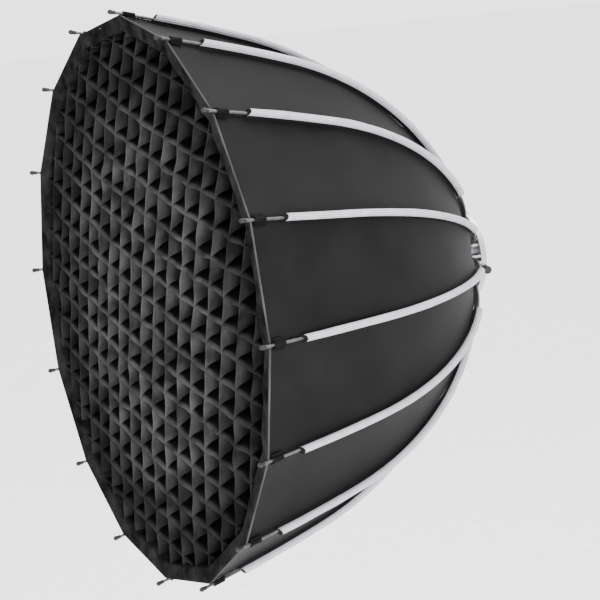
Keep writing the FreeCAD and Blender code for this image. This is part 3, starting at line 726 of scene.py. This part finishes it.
def polygon_tube(name, y, apothem, tube, material, rig, segments=10, per_side=10):
    """Thin round piping along a sixteen-sided outline."""
    verts, uvs = [], []
    rows = RIBS * per_side
    for k in range(rows):
        angle = k * STEP / per_side
        within = (angle % STEP) - STEP / 2
        radius = apothem / math.cos(within)
        for j in range(segments):
            a = 2 * math.pi * j / segments
            verts.append(spin(y + tube * math.sin(a), radius + tube * math.cos(a), angle))
            uvs.append((j / segments * 2 * math.pi * tube, k * PIPING_UV))
    obj = new_object(name, verts, quads(rows, segments, True, True), uvs, True, material)
    skin(obj, rig, rib_weights(verts))
    return obj


rim_y, rim_r = seam_path(RIM_S)
rim_apothem = float(rim_r[0]) * math.cos(STEP / 2)
piping = polygon_tube("rim_piping", float(rim_y[0]) - 0.0002, rim_apothem + 0.0008, PIPING_RADIUS,
                      PIPING, rig)
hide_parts("rim_binding")


LOOP_ROWS, LOOP_POINTS = 14, 14
LOOP_LENGTH, LOOP_RADIUS, LOOP_THICKNESS = 0.026, 0.0049, 0.0012
LOOP_WING, LOOP_ROOT, LOOP_SEAT = 0.0120, 0.0076, -0.0036   # sewn ends: outer and inner edge, height


def make_loop(index):
    """Webbing loop that wraps the rod at the rim corner, with its two sewn ends on the canopy."""
    rows = LOOP_ROWS
    near = path_distance(0.005)
    s = np.linspace(near - LOOP_LENGTH, near, rows)
    y, r, slope = rib_path(s)
    angle = index * STEP
    outline = []
    for k in range(LOOP_POINTS + 1):
        a = -0.16 * math.pi + 1.32 * math.pi * k / LOOP_POINTS
        outline.append((LOOP_RADIUS * math.cos(a), LOOP_RADIUS * math.sin(a)))
    outline = ([(LOOP_WING, LOOP_SEAT), (LOOP_ROOT, LOOP_SEAT)] + outline
               + [(-LOOP_ROOT, LOOP_SEAT), (-LOOP_WING, LOOP_SEAT)])
    verts, uvs = [], []
    for i in range(rows):
        for k, (side, up) in enumerate(outline):
            verts.append(rib_point(y[i], r[i], slope[i], up, angle, side))
            uvs.append((k * 0.002, s[i]))
    obj = new_object("corner_loop_%02d" % (index + 1), verts, quads(rows, len(outline)), uvs, True,
                     BLACK_WEBBING)
    add_solidify(obj, LOOP_THICKNESS, ALONG_NORMAL)
    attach(obj, "rib_%02d" % (index + 1))
    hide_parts("corner_loops")


for index in range(RIBS):
    make_loop(index)

# ---------------------------------------------------------------- grid

# The cloth grid is stretched unevenly: its two thread counts are smooth functions of the place
# (x, z) in metres, as (x, z, xx, xz, zz, start).  Each whole number is one strip.
UPRIGHT_COUNT = (15.80, -4.38, -2.25, 0.56, -3.49, 0.33)
LEVEL_COUNT = (3.45, 16.28, -1.81, 0.68, -1.57, 0.85)
STRIP_END = BORDER_APOTHEM - 0.001
STRIPS_EACH_WAY, RUN_STEP = 13, 0.2     # strip numbers go from -13 to 13, with points this far apart
DROOP = 0.013                           # how far the strips' rear edges stand above their front ones
CURL, CURL_RUN = 0.009, 0.007           # extra fall of the front edge, and the depth it takes
SWAY, FRONT_SWAY = 0.0030, 0.0055       # uneven shift across the mouth, and more of it at the front
FRONT_RIPPLE = 0.0035                   # uneven shift of the front edges along the light axis
RISE_SPREAD = 0.35                      # uneven share of the droop and curl
SOLVER_STEPS = 12
STRIP_THICKNESS = 0.0008
GRID_FLAT = 0.60                        # radius within which the grid's weights blend to all ribs
STRIP_UV = 1.37                         # keeps one strip's texture clear of the next one's
DEPTHS = (0.0, 0.06, 0.13, 0.21, 0.32, 0.5, 0.74, 1.0)     # shares of the depth that have points


def count_at(terms, x, z):
    """Strip count at a place, and its slopes along x and z."""
    a, b, c, d, e, start = terms
    return (a * x + b * z + c * x * x + d * x * z + e * z * z + start,
            a + 2 * c * x + d * z, b + d * x + 2 * e * z)


def weave_place(i, j):
    """Places (x, z) where upright count i meets level count j, by Newton steps."""
    x, z = np.zeros_like(i), np.zeros_like(j)
    for _ in range(SOLVER_STEPS):
        u, ux, uz = count_at(UPRIGHT_COUNT, x, z)
        v, vx, vz = count_at(LEVEL_COUNT, x, z)
        det = ux * vz - uz * vx
        x, z = x - ((u - i) * vz - (v - j) * uz) / det, z - ((v - j) * ux - (u - i) * vx) / det
    return x, z


def polygon_share(x, z, apothem):
    """Radius of a place as a share of the sixteen-sided outline's radius in that direction."""
    angle = np.arctan2(x, z) % STEP - STEP / 2
    return np.hypot(x, z) * np.cos(angle) / apothem


def grid_shift(x, z, depth):
    """Small shift of the cloth, the same for both sets, so that crossing strips stay joined."""
    share = float(polygon_share(np.array(x), np.array(z), STRIP_END))
    fade = 1 - smoothstep((share - 0.90) / 0.10)
    front = 1 - depth / GRID_DEPTH
    where = Vector((x * 9.0, z * 9.0, depth * 12.0))
    fine = Vector((x * 21.0, z * 21.0, depth * 25.0))
    dx = SWAY * noise.noise(where + Vector((11, 0, 0))) + FRONT_SWAY * front * noise.noise(fine)
    dz = (SWAY * noise.noise(where + Vector((0, 23, 5)))
          + FRONT_SWAY * front * noise.noise(fine + Vector((5, 9, 2))))
    dy = FRONT_RIPPLE * front * noise.noise(fine + Vector((31, 3, 7)))
    rise = DROOP * (1 - front) + CURL * (1 - math.exp(-depth / CURL_RUN))
    rise *= 1 + RISE_SPREAD * noise.noise(fine * 1.3 + Vector((2, 40, 9)))
    return dx * fade, dy * fade, (dz + rise) * fade


def grid_set(name, upright, node, rig):
    """One set of strips of the egg-crate grid."""
    verts, uvs, faces = [], [], []
    for k in range(-STRIPS_EACH_WAY, STRIPS_EACH_WAY + 1):
        run = np.arange(-float(STRIPS_EACH_WAY), float(STRIPS_EACH_WAY), RUN_STEP)
        fixed = np.full_like(run, float(k))
        x, z = weave_place(fixed, run) if upright else weave_place(run, fixed)
        share = polygon_share(x, z, STRIP_END)
        inside = np.nonzero(share < 1.0)[0]
        if len(inside) < 4:
            continue
        line = [(x[m], z[m]) for m in inside]
        for end, beyond in ((0, inside[0] - 1), (len(line), inside[-1] + 1)):
            near = inside[0] if end == 0 else inside[-1]
            part = (1.0 - share[near]) / (share[beyond] - share[near])
            place = (x[near] + (x[beyond] - x[near]) * part, z[near] + (z[beyond] - z[near]) * part)
            line.insert(end, place)
        start = len(verts)
        along = 0.0
        for m, (px, pz) in enumerate(line):
            if m:
                along += math.dist(line[m - 1], line[m])
            for part in DEPTHS:
                depth = GRID_DEPTH * part
                dx, dy, dz = grid_shift(px, pz, depth)
                verts.append((px + dx, GRID_FRONT + depth + dy, pz + dz))
                uvs.append((along + STRIP_UV * k, depth))
        faces += quads(len(line), len(DEPTHS), start=start)
    obj = new_object(name, verts, faces, uvs, True, GRID_UPRIGHT if upright else GRID_LEVEL)
    add_solidify(obj, STRIP_THICKNESS, BOTH_SIDES)
    skin(obj, rig, rib_weights(verts, flat=GRID_FLAT))
    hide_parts(node)


grid_set("grid_strips_upright", True, "grid_upright_strips", rig)
grid_set("grid_strips_level", False, "grid_level_strips", rig)


OUTLINE_UV = 0.564                      # radius that turns an angle into a length along the outline
SCALLOP = 0.016                         # share of its radius a cloth's edge draws in between corners


def polygon_band(name, profile, material, rig, per_side=12, flat=0.0, wave=0.0, puckers=None):
    """Sheet along the sixteen-sided outline.

    profile lists (y, apothem) pairs and puckers how uneven each is along the light axis.  A band on
    a cloth across the mouth gives the cloth's radius as flat, and draws in between corners with it.
    """
    verts, uvs = [], []
    rows = RIBS * per_side
    for k in range(rows):
        angle = k * STEP / per_side
        within = (angle % STEP) - STEP / 2
        girth = 0.0
        for j, (y, apothem) in enumerate(profile):
            if j:
                girth += math.dist(profile[j - 1], profile[j])
            shift = wave * noise.noise(Vector((math.cos(angle) * 9, math.sin(angle) * 9, j * 0.7)))
            scallop = 1 - SCALLOP * (1 - (within / (STEP / 2)) ** 2) if flat else 1.0
            if puckers:
                y += puckers[j] * noise.noise(Vector((angle * 17.0, j * 0.45, 3.0)))
            verts.append(spin(y + shift * 0.3, scallop * (apothem + shift) / math.cos(within), angle))
            uvs.append((angle * OUTLINE_UV, girth))
    obj = new_object(name, verts, quads(rows, len(profile), False, True), uvs, True, material)
    skin(obj, rig, rib_weights(verts, flat))
    return obj


# The border's section from the wall's rear edge, round the front lip, to the edge turned in at the
# rim: (y, apothem) and the puckers there.
BORDER_SECTION = (
    (GRID_FRONT + GRID_DEPTH, BORDER_APOTHEM + 0.0005, 0.0),
    (GRID_FRONT + 0.025, BORDER_APOTHEM + 0.001, 0.0),
    (GRID_FRONT + 0.0005, BORDER_APOTHEM + 0.001, 0.001),
    (GRID_FRONT - 0.0020, BORDER_APOTHEM + 0.004, 0.004),
    (GRID_FRONT - 0.0030, BORDER_APOTHEM + 0.014, 0.009),
    (GRID_FRONT - 0.0055, BORDER_APOTHEM + 0.023, 0.005),
    (float(rim_y[0]) - 0.0038, rim_apothem - 0.0010, 0.0),
    (float(rim_y[0]) - 0.0036, rim_apothem + 0.0012, 0.0))
BORDER_THICKNESS, BORDER_WAVE = 0.0016, 0.0010
border = polygon_band("grid_border_wall", [place[:2] for place in BORDER_SECTION], LOOP_TAPE, rig,
                      per_side=24, wave=BORDER_WAVE, puckers=[place[2] for place in BORDER_SECTION])
add_solidify(border, BORDER_THICKNESS, BOTH_SIDES)
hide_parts("grid_border")

# ---------------------------------------------------------------- diffusers

CLOTH_RINGS, CLOTH_COLUMNS, CLOTH_THICKNESS = 34, RIBS * 8, 0.0006
CLOTH_SLOW, CLOTH_PULL = 0.003, 0.0022  # heights of slow waves, and of wrinkles from the corners
PULL_RUN = 0.12
FLAT_REACH = 1.02                       # a cloth's weights reach just past its edge


def diffuser(name, node, y, apothem, rig, material, sag):
    """Stretched cloth with a little sag and tension wrinkles from its corners."""
    rings, columns = CLOTH_RINGS, CLOTH_COLUMNS
    verts, uvs = [(0.0, y + sag + CLOTH_SLOW * noise.noise(Vector((0, 0, y))), 0.0)], [(0.0, 0.0)]
    for i in range(1, rings + 1):
        share = i / rings
        for k in range(columns):
            angle = k * 2 * math.pi / columns
            within = (angle % STEP) - STEP / 2
            round_off = share ** 2
            scallop = 1 - SCALLOP * round_off * (1 - (within / (STEP / 2)) ** 2)
            radius = share * scallop * apothem / (math.cos(within) * round_off + (1 - round_off))
            corner = math.cos(angle * RIBS) * 0.5 + 0.5
            pull = CLOTH_PULL * corner * math.sin(share * 9 + 3 * noise.noise(Vector((angle * 2, 0, 0))))
            pull *= math.exp(-((1 - share) / PULL_RUN) ** 2) * (1 - share) * 10
            where = Vector((math.cos(angle) * radius * 5, math.sin(angle) * radius * 5, y))
            slow = CLOTH_SLOW * noise.noise(where)
            height = y + sag * (1 - share ** 2) + (slow + pull) * (1 - share ** 6)
            point = spin(height, radius, angle)
            verts.append(point)
            uvs.append((point[0], point[2]))
    faces = [(0, 1 + (k + 1) % columns, 1 + k) for k in range(columns)]
    faces += quads(rings, columns, True, start=1)
    obj = new_object(name, verts, faces, uvs, True, material)
    add_solidify(obj, CLOTH_THICKNESS, BOTH_SIDES)
    skin(obj, rig, rib_weights(verts, flat=apothem * FLAT_REACH))
    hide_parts(node)


diffuser("front_cloth", "front_diffuser", FRONT_DIFFUSER_Y, FRONT_DIFFUSER_APOTHEM, rig, DIFFUSION, sag=0.004)
diffuser("inner_cloth", "inner_diffuser", INNER_DIFFUSER_Y, INNER_DIFFUSER_APOTHEM, rig, DIFFUSION, sag=0.008)
HEM_TAPE, HEM_THICKNESS = 0.024, 0.001
HEM_SECTION = ((FRONT_DIFFUSER_Y + 0.0012, FRONT_DIFFUSER_APOTHEM - HEM_TAPE),
               (FRONT_DIFFUSER_Y + 0.0014, FRONT_DIFFUSER_APOTHEM - HEM_TAPE / 2),
               (FRONT_DIFFUSER_Y + 0.0012, FRONT_DIFFUSER_APOTHEM))
front_hem = polygon_band("front_cloth_hem", HEM_SECTION, WHITE_HEM, rig,
                         flat=FRONT_DIFFUSER_APOTHEM * FLAT_REACH)
add_solidify(front_hem, HEM_THICKNESS, ALONG_NORMAL)
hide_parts("front_diffuser_hem")


TAB_WIDTH, TAB_REACH, TAB_LAP = 0.022, 0.015, 0.015
TAB_ROWS, TAB_COLUMNS, TAB_THICKNESS = 13, 7, 0.0012
TAB_BEHIND, TAB_LIFT = 0.0013, 0.0022   # behind the cloth, and further behind at the tab's end
TAB_CUP, TAB_RIPPLE = 0.0006, 0.0003


def diffuser_tabs():
    """Hook-and-loop tabs behind every second corner of the inner cloth, each reaching out to the seam."""
    width, reach, lap, rows, columns = TAB_WIDTH, TAB_REACH, TAB_LAP, TAB_ROWS, TAB_COLUMNS
    corner = INNER_DIFFUSER_APOTHEM / math.cos(STEP / 2)
    verts, uvs, faces = [], [], []
    for k in range(0, RIBS, 2):
        start = len(verts)
        for i in range(rows):
            along = -lap + (lap + reach) * i / (rows - 1)
            lift = TAB_LIFT * smoothstep(along / reach) ** 2
            for j in range(columns):
                side = width * (j / (columns - 1) - 0.5)
                ripple = TAB_RIPPLE * noise.noise(Vector((k * 3.0, along * 120.0, side * 90.0)))
                cup = TAB_CUP * (2 * side / width) ** 2
                verts.append(spin(INNER_DIFFUSER_Y + TAB_BEHIND + float(lift) + ripple + cup,
                                  corner + along, k * STEP, side))
                uvs.append((side, along))
        faces += quads(rows, columns, start=start)
    obj = new_object("inner_cloth_tabs", verts, faces, uvs, True, WHITE_HEM)
    add_solidify(obj, TAB_THICKNESS, BOTH_SIDES)
    skin(obj, rig, rib_weights(verts, flat=INNER_DIFFUSER_APOTHEM * FLAT_REACH))
    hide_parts("inner_diffuser_tabs")


diffuser_tabs()

# ---------------------------------------------------------------- CAD nodes that stay

for name in ("bayonet_ring", "bearing_spigot", "retainer_ring", "hub_ring"):
    finish_cad(name, ALUMINIUM)
for name in ("retainer_screws", "hinge_pins"):
    finish_cad(name, STEEL)
for name in ("lock_knob_1", "lock_knob_2"):
    finish_cad(name, KNOB_PLASTIC)
for index in range(RIBS):
    finish_cad("rib_carrier_%02d" % (index + 1), CARRIER_PLASTIC)
    finish_cad("rib_rod_%02d" % (index + 1), ROD_FINISH)

# ---------------------------------------------------------------- floor and light

FLOOR_Z, FLOOR_REACH = -1.5, 30
FLOOR_CORNERS = [(x * FLOOR_REACH, y * FLOOR_REACH, FLOOR_Z) for x, y in ((-1, -1), (1, -1), (1, 1), (-1, 1))]
floor = new_object("floor", FLOOR_CORNERS, [(0, 1, 2, 3)], None, False,
                   plastic("pale_floor", grey(0.86), rough=0.8, grain=40.0))

WORLD_STRENGTH = 2.8
world = bpy.data.worlds.new("studio")
bpy.context.scene.world = world
world.use_nodes = True
background = world.node_tree.nodes["Background"]
background.inputs["Color"].default_value = (1.0, 1.0, 1.0, 1.0)
background.inputs["Strength"].default_value = WORLD_STRENGTH


def area_light(name, location, target, size, power):
    """Soft square light aimed at a point."""
    data = bpy.data.lights.new(name, "AREA")
    data.size = size
    data.energy = power
    light = bpy.data.objects.new(name, data)
    bpy.context.scene.collection.objects.link(light)
    light.location = location
    aim = Vector(target) - Vector(location)
    light.rotation_euler = aim.to_track_quat("-Z", "Y").to_euler()


CENTRE = (0.0, -0.45, 0.0)
area_light("top", (0.5, 0.6, 3.0), CENTRE, size=2.6, power=260.0)
area_light("key", (5.0, -1.9, -0.9), CENTRE, size=2.2, power=900.0)
